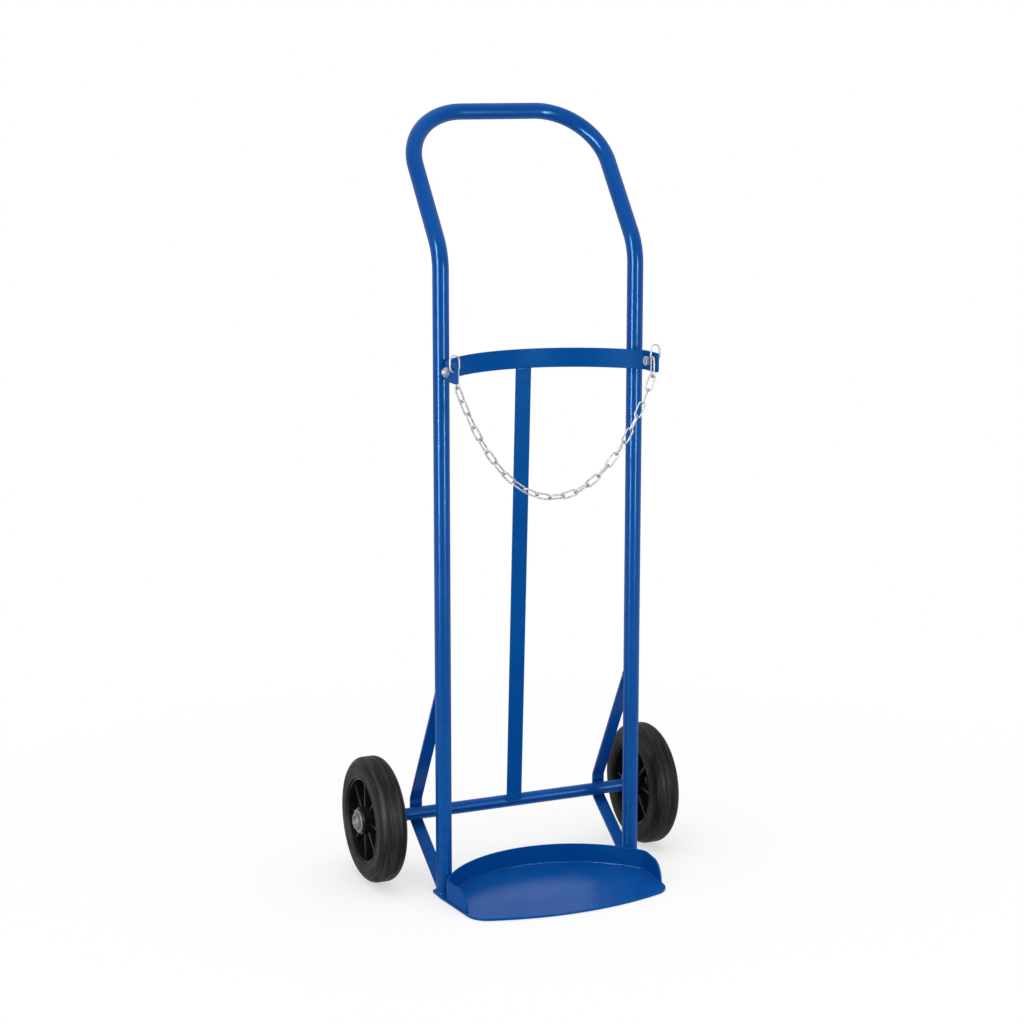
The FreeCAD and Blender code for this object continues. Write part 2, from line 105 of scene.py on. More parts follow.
def noiseNode(tree, scale, detail):
    place = tree.nodes.new("ShaderNodeTexCoord")
    node = tree.nodes.new("ShaderNodeTexNoise")
    tree.links.new(place.outputs["Object"], node.inputs["Vector"])
    tree.links.new(scale, node.inputs["Scale"])
    node.inputs["Detail"].default_value = detail
    return node.outputs["Fac"]


# Soft patches that shift a colour or a gloss from place to place.
patches, groupIn, groupOut = newGroup(
    "tonePatches", [("Scale", 6.0), ("Low", 0.35), ("High", 0.65)], ["Mask"])
mask = rangeNode(patches, noiseNode(patches, groupIn.outputs["Scale"], 4.0), groupIn.outputs["Low"],
                 groupIn.outputs["High"])
patches.links.new(mask, groupOut.inputs["Mask"])

# Fine relief: two sizes of grain, one in the other.
coarseScale = 0.27  # against the fine grain's
grain, groupIn, groupOut = newGroup("fineGrain", [("Scale", 400.0), ("Coarse Share", 0.5)], ["Height"])
fine = noiseNode(grain, groupIn.outputs["Scale"], 2.0)
coarse = noiseNode(grain, mathNode(grain, "MULTIPLY", groupIn.outputs["Scale"], coarseScale), 2.0)
fineShare = mathNode(grain, "SUBTRACT", 1.0, groupIn.outputs["Coarse Share"])
blend = mathNode(grain, "ADD", mathNode(grain, "MULTIPLY", fine, fineShare),
                 mathNode(grain, "MULTIPLY", coarse, groupIn.outputs["Coarse Share"]))
grain.links.new(blend, groupOut.inputs["Height"])

# Rubbed edges and painted edge highlights: convex places made lighter, broken up by grain.
edgeBreakup = {"low": 0.38, "high": 0.62, "least": 0.25}
wearAndHighlight, groupIn, groupOut = newGroup(
    "edgeWearAndHighlight", [("Start", 0.54), ("Full", 0.62), ("Breakup", 90.0)], ["Mask"])
shape = wearAndHighlight.nodes.new("ShaderNodeNewGeometry")
edge = rangeNode(wearAndHighlight, shape.outputs["Pointiness"], groupIn.outputs["Start"], groupIn.outputs["Full"])
broken = rangeNode(wearAndHighlight, noiseNode(wearAndHighlight, groupIn.outputs["Breakup"], 5.0), edgeBreakup["low"],
                   edgeBreakup["high"], edgeBreakup["least"])
wearAndHighlight.links.new(mathNode(wearAndHighlight, "MULTIPLY", edge, broken, True), groupOut.inputs["Mask"])

# Settled dust: upward faces, in drifts.
dustDrift = {"tilt": 0.45, "low": 0.35, "high": 0.7, "least": 0.2}
dust, groupIn, groupOut = newGroup("settledDust", [("Amount", 0.15), ("Scale", 25.0)], ["Mask"])
shape = dust.nodes.new("ShaderNodeNewGeometry")
split = dust.nodes.new("ShaderNodeSeparateXYZ")
dust.links.new(shape.outputs["Normal"], split.inputs[0])
upward = rangeNode(dust, split.outputs["Z"], dustDrift["tilt"], 1.0)
drift = rangeNode(dust, noiseNode(dust, groupIn.outputs["Scale"], 6.0), dustDrift["low"], dustDrift["high"],
                  dustDrift["least"])
lying = mathNode(dust, "MULTIPLY", upward, drift)
dust.links.new(mathNode(dust, "MULTIPLY", lying, groupIn.outputs["Amount"], True), groupOut.inputs["Mask"])

# Streaks that run round the axle, from rolling.
rolling = {"run": 1.4, "detail": 4.0, "roughness": 0.6}
streaks, groupIn, groupOut = newGroup(
    "rollingStreaks", [("Scale", 230.0), ("Low", 0.45), ("High", 0.75)], ["Mask"])
place = streaks.nodes.new("ShaderNodeTexCoord")
split = streaks.nodes.new("ShaderNodeSeparateXYZ")
streaks.links.new(place.outputs["Object"], split.inputs[0])
back = mathNode(streaks, "SUBTRACT", split.outputs["Y"], axleAt.y * millimetre)
up = mathNode(streaks, "SUBTRACT", split.outputs["Z"], axleAt.z * millimetre)
out = mathNode(streaks, "SQRT", mathNode(streaks, "ADD", mathNode(streaks, "MULTIPLY", back, back),
                                         mathNode(streaks, "MULTIPLY", up, up)))
turned = mathNode(streaks, "ARCTAN2", back, up)
rolled = streaks.nodes.new("ShaderNodeCombineXYZ")
for axis, value, scale in (("X", split.outputs["X"], groupIn.outputs["Scale"]),
                           ("Y", out, groupIn.outputs["Scale"]), ("Z", turned, rolling["run"])):
    streaks.links.new(mathNode(streaks, "MULTIPLY", value, scale), rolled.inputs[axis])
streakNoise = streaks.nodes.new("ShaderNodeTexNoise")
streakNoise.inputs["Scale"].default_value = 1.0
streakNoise.inputs["Detail"].default_value = rolling["detail"]
streakNoise.inputs["Roughness"].default_value = rolling["roughness"]
streaks.links.new(rolled.outputs[0], streakNoise.inputs["Vector"])
mask = rangeNode(streaks, streakNoise.outputs["Fac"], groupIn.outputs["Low"], groupIn.outputs["High"])
streaks.links.new(mask, groupOut.inputs["Mask"])


def placeGroup(tree, group, **values):
    node = tree.nodes.new("ShaderNodeGroup")
    node.node_tree = group
    for label, value in values.items():
        node.inputs[label.replace("_", " ")].default_value = value
    return node.outputs[0]


glossPlay = {"low": 0.3, "high": 0.7, "dustRough": 0.3, "blurFrom": 0.45, "blurTo": 0.85}


def newFinish(name, look):
    material = bpy.data.materials.new(name)
    material.use_nodes = True
    tree = material.node_tree
    shader = tree.nodes["Principled BSDF"]
    tone = placeGroup(tree, patches, Scale=look["patchScale"])
    colour = mixColour(tree, tone, look["colour"], look["colourToo"])
    if "streakColour" in look:
        rubbed = placeGroup(tree, streaks, Scale=look["streakScale"])
        colour = mixColour(tree, rubbed, colour, look["streakColour"])
    # Convex edges are made lighter: partly wear, partly a painted highlight along the edges.
    wornAndLit = placeGroup(tree, wearAndHighlight, Start=look["edgeFrom"], Full=look["edgeTo"])
    colour = mixColour(tree, wornAndLit, colour, look["wearAndHighlightColour"])
    settledOn = placeGroup(tree, dust, Amount=look["dust"])
    colour = mixColour(tree, settledOn, colour, look["dustColour"])
    tree.links.new(colour, shader.inputs["Base Color"])
    gloss = placeGroup(tree, patches, Scale=look["glossScale"], Low=glossPlay["low"], High=glossPlay["high"])
    rough = rangeNode(tree, gloss, 0.0, 1.0, look["rough"][0], look["rough"][1])
    rough = mathNode(tree, "ADD", rough, mathNode(tree, "MULTIPLY", settledOn, glossPlay["dustRough"]), True)
    if "sideBlur" in look:  # the gloss softens where a round turns away
        away = tree.nodes.new("ShaderNodeLayerWeight")
        away.inputs["Blend"].default_value = 0.5
        blur = rangeNode(tree, away.outputs["Facing"], glossPlay["blurFrom"], glossPlay["blurTo"], 0.0,
                         look["sideBlur"])
        rough = mathNode(tree, "ADD", rough, blur, True)
    tree.links.new(rough, shader.inputs["Roughness"])
    bump = tree.nodes.new("ShaderNodeBump")
    bump.inputs["Strength"].default_value = look["relief"]
    bump.inputs["Distance"].default_value = look["reliefDepth"]
    height = placeGroup(tree, grain, Scale=look["grainScale"], Coarse_Share=look["coarse"])
    tree.links.new(height, bump.inputs["Height"])
    tree.links.new(bump.outputs["Normal"], shader.inputs["Normal"])
    shader.inputs["Metallic"].default_value = look["metal"]
    shader.inputs["Specular IOR Level"].default_value = look["specular"]
    shader.inputs["Specular Tint"].default_value = (*look["tint"], 1.0)
    return material


# What a finish has unless it says otherwise, and what the three blue coats share.
plainLook = {"edgeFrom": 0.53, "metal": 0.0, "tint": (1.0, 1.0, 1.0)}
blueCoat = {
    **plainLook, "wearAndHighlightColour": (0.012, 0.125, 0.400), "edgeTo": 0.66,
    "dust": 0.03, "dustColour": (0.22, 0.28, 0.40), "reliefDepth": 0.0005,
}
finishes = {
    "bluePowderCoat": {
        **blueCoat, "colour": (0.000, 0.061, 0.291), "colourToo": (0.000, 0.073, 0.331), "patchScale": 7.0,
        "rough": (0.19, 0.24), "sideBlur": 0.5, "glossScale": 30.0, "relief": 0.012,
        "grainScale": 520.0, "coarse": 0.45, "specular": 0.26, "tint": (0.22, 0.49, 0.90),
    },
    "plateCoat": {
        **blueCoat, "colour": (0.000, 0.071, 0.312), "colourToo": (0.000, 0.083, 0.352), "patchScale": 7.0,
        "rough": (0.20, 0.27), "glossScale": 24.0, "relief": 0.03,
        "grainScale": 480.0, "coarse": 0.5, "specular": 0.09, "tint": (0.15, 0.55, 1.0),
    },
    "flatBarCoat": {
        **blueCoat, "colour": (0.000, 0.071, 0.312), "colourToo": (0.000, 0.083, 0.352), "patchScale": 9.0,
        "rough": (0.38, 0.47), "glossScale": 34.0, "relief": 0.16,
        "grainScale": 420.0, "coarse": 0.5, "specular": 0.045, "tint": (0.20, 0.60, 1.0),
    },
    "tyreRubber": {
        **plainLook, "colour": (0.006, 0.006, 0.0064), "colourToo": (0.011, 0.011, 0.0114),
        "patchScale": 22.0, "streakColour": (0.046, 0.045, 0.043), "streakScale": 260.0,
        "wearAndHighlightColour": (0.030, 0.030, 0.031), "edgeTo": 0.70,
        "dust": 0.05, "dustColour": (0.09, 0.087, 0.083),
        "rough": (0.40, 0.56), "glossScale": 40.0, "relief": 0.22, "reliefDepth": 0.0005,
        "grainScale": 900.0, "coarse": 0.35, "specular": 0.06,
    },
    "rimPlastic": {
        **plainLook, "colour": (0.005, 0.005, 0.0055), "colourToo": (0.009, 0.009, 0.0095),
        "patchScale": 30.0, "wearAndHighlightColour": (0.022, 0.022, 0.023), "edgeTo": 0.70,
        "dust": 0.05, "dustColour": (0.10, 0.10, 0.10),
        "rough": (0.24, 0.36), "glossScale": 60.0, "relief": 0.14, "reliefDepth": 0.0004,
        "grainScale": 1400.0, "coarse": 0.3, "specular": 0.10,
    },
    "zincPlate": {
        **plainLook, "colour": (0.25, 0.260, 0.280), "colourToo": (0.48, 0.495, 0.520), "patchScale": 190.0,
        "wearAndHighlightColour": (0.66, 0.67, 0.69), "edgeTo": 0.68,
        "dust": 0.04, "dustColour": (0.40, 0.39, 0.37),
        "rough": (0.42, 0.55), "glossScale": 160.0, "relief": 0.05, "reliefDepth": 0.0003,
        "grainScale": 1800.0, "coarse": 0.4, "metal": 0.2, "specular": 0.15,
    },
    # The caps' zinc, painted darker as painted shade because it faces the bright lamps and background.
    "capShadedZinc": {
        **plainLook, "colour": (0.150, 0.156, 0.165), "colourToo": (0.230, 0.238, 0.250), "patchScale": 120.0,
        "wearAndHighlightColour": (0.34, 0.34, 0.34), "edgeTo": 0.70,
        "dust": 0.05, "dustColour": (0.30, 0.29, 0.28),
        "rough": (0.32, 0.46), "glossScale": 130.0, "relief": 0.14, "reliefDepth": 0.0003,
        "grainScale": 1500.0, "coarse": 0.4, "metal": 0.2, "specular": 0.15,
    },
}
finishOf = {name: newFinish(name, look) for name, look in finishes.items()}
print("finishes made:", ", ".join(finishes))


# shape helpers

def rounded(corners, radii, step):
    # A line through the corners, each inner one rounded; two or three coordinates alike.
    points = [corners[0]]
    for before, corner, after, radius in zip(corners, corners[1:], corners[2:], radii):
        into = (before - corner).normalized()
        out = (after - corner).normalized()
        half = into.angle(out) / 2
        reach = radius / math.tan(half)
        centre = corner + (into + out).normalized() * (radius / math.sin(half))
        first = corner + into * reach - centre
        last = corner + out * reach - centre
        sweep = math.pi - 2 * half
        count = max(2, math.ceil(math.degrees(sweep) / step))
        for i in range(count + 1):
            t = i / count
            share = (math.sin((1 - t) * sweep) * first + math.sin(t * sweep) * last) / math.sin(sweep)
            points.append(centre + share)
    return points + [corners[-1]]


def roundedPoints(points, step):
    # Each point is (along the axle, radius, rounding).
    corners = [Vector((along, radius)) for along, radius, _ in points]
    return rounded(corners, [rounding for _, _, rounding in points[1:-1]], step)


def mirrorLine(line):
    # A flat line on the other side, run from its far end.
    return [Vector((-p.x, p.y)) for p in reversed(line)]


def arcLine(centre, radius, start, end, step=4.0):
    count = max(2, math.ceil(abs(math.degrees(end - start)) / step))
    turns = [start + (end - start) * i / count for i in range(count + 1)]
    return [Vector((centre.x + radius * math.cos(t), centre.y + radius * math.sin(t))) for t in turns]


def barSection(thickness, height, rounding, steps=3):
    section = []
    for side, lift, turn in ((1, 1, 0), (-1, 1, 90), (-1, -1, 180), (1, -1, 270)):
        for i in range(steps + 1):
            angle = math.radians(turn + 90 * i / steps)
            section.append((side * (thickness / 2 - rounding) + rounding * math.cos(angle),
                            lift * (height / 2 - rounding) + rounding * math.sin(angle)))
    return section


def roundSection(radius, count):
    turns = [2 * math.pi * i / count for i in range(count)]
    return [(radius * math.cos(t), radius * math.sin(t)) for t in turns]


def sweptShape(section, path, up=None, closed=False, swell=None, topCut=None, bottomCut=None):
    # Rings of the section along the path; up keeps a flat bar on edge, and round bars carry their own.
    count = len(path)
    rings = []
    carried = None
    for i, point in enumerate(path):
        if closed:
            along = (path[(i + 1) % count] - path[i - 1]).normalized()
        else:
            along = (path[min(i + 1, count - 1)] - path[max(i - 1, 0)]).normalized()
        if up is not None:
            lift = up
        elif carried is None:
            lift = toTop if abs(along.z) < 0.9 else toBack
        else:
            lift = carried
        side = along.cross(lift).normalized()
        lift = side.cross(along).normalized()
        carried = lift
        grow = swell[i] if swell else 1.0
        ring = []
        for across, high in section:
            if topCut and high > 0:
                high -= topCut[i]
            if bottomCut and high < 0:
                high += bottomCut[i]
            ring.append(point + side * across * grow + lift * high * grow)
        rings.append(ring)
    return rings


def ringFaces(rings, closed=False):
    around = len(rings[0])
    verts = [p for ring in rings for p in ring]
    faces = []
    last = len(rings) if closed else len(rings) - 1
    for i in range(last):
        low = i * around
        high = ((i + 1) % len(rings)) * around
        for j in range(around):
            k = (j + 1) % around
            faces.append((low + j, low + k, high + k, high + j))
    if not closed:
        faces.append(tuple(range(around)))
        faces.append(tuple(range(len(verts) - around, len(verts))))
    return verts, faces


def turnedShape(outline, centre, segments, side=1):
    # The outline is (along the axle, radius); it is turned about X.
    rings = []
    for along, radius in outline:
        ring = []
        for i in range(segments):
            turn = 2 * math.pi * i / segments
            ring.append(centre + Vector((side * along, radius * math.cos(turn), radius * math.sin(turn))))
        rings.append(ring)
    return rings


def slideTo(ring, along, at, normal):
    # Moves a ring's points along the bar until they lie on a plane.
    return [p + along * ((at - p).dot(normal) / along.dot(normal)) for p in ring]


def joinShapes(shapes):
    verts = []
    faces = []
    for shapeVerts, shapeFaces in shapes:
        base = len(verts)
        verts += shapeVerts
        faces += [tuple(base + i for i in face) for face in shapeFaces]
    return verts, faces


def newPiece(name, shapePair, finish, body, replaced=(), crease=40.0, evenNormals=False):
    verts, faces = shapePair
    mesh = bpy.data.meshes.new(name)
    mesh.from_pydata([tuple(p * millimetre) for p in verts], [], faces)
    work = bmesh.new()
    work.from_mesh(mesh)
    bmesh.ops.remove_doubles(work, verts=work.verts, dist=1e-6)
    bmesh.ops.recalc_face_normals(work, faces=work.faces)
    work.to_mesh(mesh)
    work.free()
    mesh.polygons.foreach_set("use_smooth", [True] * len(mesh.polygons))
    mesh.set_sharp_from_angle(angle=math.radians(crease))
    mesh.materials.append(finishOf[finish])
    piece = bpy.data.objects.new(name, mesh)
    scene.collection.objects.link(piece)
    if evenNormals:
        even = piece.modifiers.new("evenNormals", "WEIGHTED_NORMAL")
        even.keep_sharp = True
    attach(piece, body)
    if replaced:
        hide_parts(*replaced)
    return piece


# frame tube: two uprights and the leaning handle in one bent tube
hoop = {"leanHeight": 1000, "leanAngle": 38, "leanLength": 259, "leanRadius": 80, "handleRadius": 100,
        "bendStep": 2.5, "around": 56}
lean = math.radians(hoop["leanAngle"])
handleY = hoop["leanLength"] * math.sin(lean)
handleZ = hoop["leanHeight"] + hoop["leanLength"] * math.cos(lean)
rightSide = [Vector((tubeX, 0, floorTop)),
             Vector((tubeX, 0, hoop["leanHeight"])),
             Vector((tubeX, handleY, handleZ))]
leftSide = [Vector((-p.x, p.y, p.z)) for p in rightSide]
hoopBends = [hoop["leanRadius"], hoop["handleRadius"], hoop["handleRadius"], hoop["leanRadius"]]
hoopLine = rounded(leftSide + rightSide[::-1], hoopBends, hoop["bendStep"])
hoopRings = sweptShape(roundSection(tubeRadius, hoop["around"]), hoopLine)
newPiece("frameTube", ringFaces(hoopRings), "bluePowderCoat", "frame", ["frame_tube"])
print("frame tube made")

# foot plate and its rim
foot = {"side": 2.5, "margin": 1.5, "straight": 20, "reach": 163.5, "toeIn": 5.4, "corner": 35, "heel": 5,
        "noseRadius": 453, "edge": 0.9, "rimHeight": 31, "rimThickness": 3, "rimCentre": 145, "rimCorner": 25,
        "rimReach": 104, "rimEdge": 0.8, "rimEndFlat": 1.5, "bowStep": 2.0, "heelStep": 15.0, "noseStep": 1.5}
toeIn = math.radians(foot["toeIn"])
sideStart = Vector((tubeX + tubeRadius + foot["side"], -foot["straight"]))
sideAlong = Vector((-math.sin(toeIn), -math.cos(toeIn)))
sideInward = Vector((-math.cos(toeIn), math.sin(toeIn)))
bowCentre = Vector((0, -foot["rimCentre"]))
bowRadius = math.hypot(tubeX, foot["rimCentre"]) - tubeRadius


def cornerCentre(start, along, inward, corner, centre, reach, outer):
    base = start + inward * corner - centre
    half = base.dot(along)
    root = math.sqrt(half * half - base.dot(base) + reach * reach)
    return centre + base + along * (-half + (root if outer else -root))


def headingOf(direction):
    return math.atan2(direction.y, direction.x)


def plateOutline():
    back = tubeRadius + foot["margin"]
    bow = bowRadius + foot["margin"]
    bowTurn = math.asin((back + foot["rimCentre"]) / bow)
    heelAt = Vector((sideStart.x - foot["heel"], back - foot["heel"]))
    noseAt = Vector((0, foot["noseRadius"] - foot["reach"]))
    cornerAt = cornerCentre(sideStart, sideAlong, sideInward, foot["corner"], noseAt,
                            foot["noseRadius"] - foot["corner"], True)
    sideTurn = headingOf(-sideInward)
    noseTurn = headingOf(cornerAt - noseAt)
    right = arcLine(bowCentre, bow, math.pi / 2, bowTurn, foot["bowStep"])
    right += arcLine(heelAt, foot["heel"], math.pi / 2, 0, foot["heelStep"])
    right += [sideStart]
    right += arcLine(cornerAt, foot["corner"], sideTurn, noseTurn)
    right += arcLine(noseAt, foot["noseRadius"], noseTurn, -math.pi / 2, foot["noseStep"])
    return right + mirrorLine(right[1:-1])


def plateShape(outline, thickness, edge, steps=3):
    # The outline runs clockwise from above; its edges are eased by shrinking it near both faces.
    count = len(outline)
    levels = []
    for i in range(steps + 1):
        angle = math.radians(90 * i / steps)
        levels.append((edge * (1 - math.sin(angle)), edge * (1 - math.cos(angle))))
    levels += [(inset, thickness - z) for inset, z in reversed(levels)]
    rings = []
    for inset, z in levels:
        ring = []
        for i, point in enumerate(outline):
            along = (outline[(i + 1) % count] - outline[i - 1]).normalized()
            inward = Vector((along.y, -along.x))
            ring.append(Vector((*(point + inward * inset), z)))
        rings.append(ring)
    return ringFaces(rings)


newPiece("footPlate", plateShape(plateOutline(), floorTop, foot["edge"]), "plateCoat", "frame",
         ["foot_plate"], evenNormals=True)


def bowedLine(centre, radius, cornerAt, corner, inward, end, bowStep=2.0, cornerStep=5.0, endStep=1.5):
    # Seen from above: one wide bow, a corner at each side, a straight end at each side.
    turn = headingOf(cornerAt - centre)
    right = arcLine(centre, radius, math.pi / 2, turn, bowStep)[1:]
    right += arcLine(cornerAt, corner, turn, headingOf(-inward), cornerStep)[1:]
    run = end - right[-1]
    steps = max(2, math.ceil(run.length / endStep))
    start = right[-1].copy()
    right += [start + run * (i / steps) for i in range(1, steps + 1)]
    return mirrorLine(right) + [Vector((0, centre.y + radius))] + right


def endDistances(line):
    # How far each point is from the nearer end of the line.
    lengths = [0.0]
    for before, after in zip(line, line[1:]):
        lengths.append(lengths[-1] + (after - before).length)
    return [min(s, lengths[-1] - s) for s in lengths]


def roundedOff(distance, radius):
    # How much a quarter round of this radius takes off at a distance from the end.
    if distance >= radius:
        return 0.0
    return radius - math.sqrt(max(0.0, radius ** 2 - (radius - distance) ** 2))


rimLineStart = sideStart + sideInward * (foot["margin"] + foot["rimThickness"] / 2)
rimBow = bowRadius - foot["rimThickness"] / 2
rimCornerAt = cornerCentre(rimLineStart, sideAlong, sideInward, foot["rimCorner"], bowCentre,
                           rimBow - foot["rimCorner"], False)
rimEnd = rimLineStart + sideAlong * ((rimLineStart.y + foot["rimReach"]) / -sideAlong.y)
rimPlan = bowedLine(bowCentre, rimBow, rimCornerAt, foot["rimCorner"], sideInward, rimEnd)
rimMiddle = floorTop + foot["rimHeight"] / 2
rimLine = [Vector((p.x, p.y, rimMiddle)) for p in rimPlan]
rimCut = [roundedOff(d, foot["rimHeight"] - foot["rimEndFlat"]) for d in endDistances(rimLine)]
rimRings = sweptShape(barSection(foot["rimThickness"], foot["rimHeight"], foot["rimEdge"]), rimLine,
                      toTop, topCut=rimCut)
newPiece("footRim", ringFaces(rimRings), "flatBarCoat", "frame", ["foot_rim"],
         evenNormals=True)
print("foot plate and rim made")

# cradle bar: a bow behind the cylinder whose ends turn forward as ears
cradle = {"height": 30, "thickness": 4, "level": 828, "bow": 60, "corner": 12, "earOverhang": 4,
          "earReach": 72, "earRounding": 4, "edge": 0.9, "boltReach": 42, "chainReach": 63, "chainRise": 4,
          "chainHole": 6, "drillOver": 9, "drillAround": 24, "crease": 40.0}
cradleTouch = tubeRadius + cradle["thickness"] / 2
cradleRadius = tubeX ** 2 + cradle["bow"] ** 2 - cradleTouch ** 2
cradleRadius /= 2 * (cradle["bow"] + cradleTouch)
cradleCentre = Vector((0, cradle["bow"] - cradleRadius))
earX = tubeX + cradle["earOverhang"]
earCornerAt = cornerCentre(Vector((earX, 0)), Vector((0, -1)), Vector((-1, 0)), cradle["corner"],
                           cradleCentre, cradleRadius - cradle["corner"], False)
cradlePlan = bowedLine(cradleCentre, cradleRadius, earCornerAt, cradle["corner"], Vector((-1, 0)),
                       Vector((earX, -cradle["earReach"])))
cradleLine = [Vector((p.x, p.y, cradle["level"])) for p in cradlePlan]
earCut = [roundedOff(d, cradle["earRounding"]) for d in endDistances(cradleLine)]
cradleRings = sweptShape(barSection(cradle["thickness"], cradle["height"], cradle["edge"]), cradleLine,
                         toTop, topCut=earCut, bottomCut=earCut)
cradleBar = newPiece("cradleBar", ringFaces(cradleRings), "flatBarCoat", "frame",
                     ["cradle_bar"], evenNormals=True)
chainAxis = Vector((0, -cradle["chainReach"], cradle["level"] + cradle["chainRise"]))


def drillEars(bar):
    # Each ear's chain hole is cut through the bar's mesh.
    reach = earX + cradle["drillOver"]
    drillLine = [(-reach, cradle["chainHole"] / 2), (reach, cradle["chainHole"] / 2)]
    verts, faces = ringFaces(turnedShape(drillLine, chainAxis, cradle["drillAround"]))
    mesh = bpy.data.meshes.new("earDrill")
    mesh.from_pydata([tuple(p * millimetre) for p in verts], [], faces)
    drill = bpy.data.objects.new("earDrill", mesh)
    scene.collection.objects.link(drill)
    cut = bar.modifiers.new("drill", "BOOLEAN")
    cut.object = drill
    cut.solver = "EXACT"
    bpy.context.view_layer.update()
    made = bpy.data.meshes.new_from_object(bar.evaluated_get(bpy.context.evaluated_depsgraph_get()))
    bar.modifiers.remove(cut)
    made.name = "cradleBarDrilled"
    bar.data = made
    bpy.data.objects.remove(drill)
    bar.data.set_sharp_from_angle(angle=math.radians(cradle["crease"]))


drillEars(cradleBar)
print("cradle bar made")

# centre strut from under the cradle bar to the axle's upper front
strut = {"width": 25, "thickness": 5, "ahead": 9.5, "end": 4, "edge": 0.9, "steps": 12}
strutTop = Vector((0, cradle["bow"], cradle["level"] - cradle["height"] / 2))
strutFoot = axleAt + Vector((0, -strut["ahead"], strut["end"]))
strutAlong = (strutFoot - strutTop).normalized()
strutLine = [strutTop.lerp(strutFoot, i / strut["steps"]) for i in range(strut["steps"] + 1)]
strutRings = sweptShape(barSection(strut["thickness"], strut["width"], strut["edge"]), strutLine, toRight)
strutRings[0] = slideTo(strutRings[0], strutAlong, strutTop, toTop)
strutRings[-1] = slideTo(strutRings[-1], strutAlong, strutFoot, toTop)
newPiece("centreStrut", ringFaces(strutRings), "flatBarCoat", "frame", ["centre_strut"],
         evenNormals=True)

# braces: flat bar with two legs from the tube and a short upright stretch behind the axle
brace = {"width": 20, "thickness": 5, "top": 314, "foot": 14, "rise": 21, "drop": 14, "bend": 12, "edge": 0.9,
         "sink": 4.0, "bendStep": 5.0}
braceBack = axleAt.y + axleRadius + brace["thickness"] / 2
braceTop = Vector((0, tubeRadius, brace["top"]))
braceFoot = Vector((0, tubeRadius, brace["foot"]))
braceUpper = Vector((0, braceBack, axleAt.z + brace["rise"]))
braceLower = Vector((0, braceBack, axleAt.z - brace["drop"]))
braceLine = rounded([braceTop, braceUpper, braceLower, braceFoot], [brace["bend"]] * 2, brace["bendStep"])
for name, side in sides.items():
    line = [p + Vector((side * tubeX, 0, 0)) for p in braceLine]
    rings = sweptShape(barSection(brace["thickness"], brace["width"], brace["edge"]), line, toRight)
    sunk = Vector((0, tubeRadius - brace["sink"], 0))
    rings[0] = slideTo(rings[0], (line[0] - line[1]).normalized(), sunk, toBack)
    rings[-1] = slideTo(rings[-1], (line[-1] - line[-2]).normalized(), sunk, toBack)
    newPiece("brace" + name.capitalize(), ringFaces(rings), "bluePowderCoat", "frame",
             ["brace_" + name], evenNormals=True)
print("strut and braces made")

# axle with a collar inboard of each hub
axle = {"collarRadius": 15, "collarWidth": 8, "endPlay": 0.4, "hubLength": 50, "capBrim": 3, "edge": 0.8,
        "innerFillet": 0.6, "outerFillet": 0.3, "endCentre": 1.0, "bendStep": 25.0, "around": 48}
hubFace = wheelX + axle["hubLength"] / 2
collarTo = hubFace - axle["hubLength"] - axle["endPlay"]
collarFrom = collarTo - axle["collarWidth"]
axleEnd = hubFace + axle["endPlay"] + axle["capBrim"]
axleRight = roundedPoints([
    (0, axleRadius, 0.0), (collarFrom, axleRadius, axle["innerFillet"]),
    (collarFrom, axle["collarRadius"], axle["edge"]), (collarTo, axle["collarRadius"], axle["edge"]),
    (collarTo, axleRadius, axle["outerFillet"]), (axleEnd, axleRadius, axle["edge"]),
    (axleEnd, axle["endCentre"], 0.0),
], axle["bendStep"])
axleRings = turnedShape(mirrorLine(axleRight) + axleRight, axleAt, axle["around"])
newPiece("axleBar", ringFaces(axleRings), "bluePowderCoat", "frame", ["axle"])

# brimmed caps over the axle's ends
cap = {"radius": 18.5, "brim": 3, "crown": 12.5, "height": 7.5, "groove": 1.2, "dish": 9.5, "dishFloor": 3.6,
       "knob": 5.2, "edge": 1.0, "grooveOuter": 2.4, "grooveInner": 1.8, "dishSlope": 0.8, "knobDrop": 0.5,
       "knobCentre": 0.5, "bendStep": 20.0, "around": 64}
capGroove = cap["brim"] - cap["groove"]
capKnob = cap["height"] - cap["knobDrop"]
capLine = roundedPoints([
    (0, axleRadius, 0.0), (0, cap["radius"], 0.5), (cap["brim"], cap["radius"], cap["edge"]),
    (cap["brim"], cap["crown"] + cap["grooveOuter"], 0.5),
    (capGroove, cap["crown"] + cap["grooveInner"], 0.4), (capGroove, cap["crown"], 0.4),
    (cap["height"], cap["crown"], 1.4), (cap["height"], cap["dish"], 0.5),
    (cap["dishFloor"], cap["dish"] - cap["dishSlope"], 0.4), (cap["dishFloor"], cap["knob"], 0.4),
    (capKnob, cap["knob"], 1.2), (capKnob, cap["knobCentre"], 0.0),
], cap["bendStep"])
caps = []
for side in sides.values():
    capAt = axleAt + Vector((side * (hubFace + axle["endPlay"]), 0, 0))
    caps.append(ringFaces(turnedShape(capLine, capAt, cap["around"], side)))
newPiece("axleCaps", joinShapes(caps), "capShadedZinc", "frame", ["axle_caps"])
print("axle and caps made")

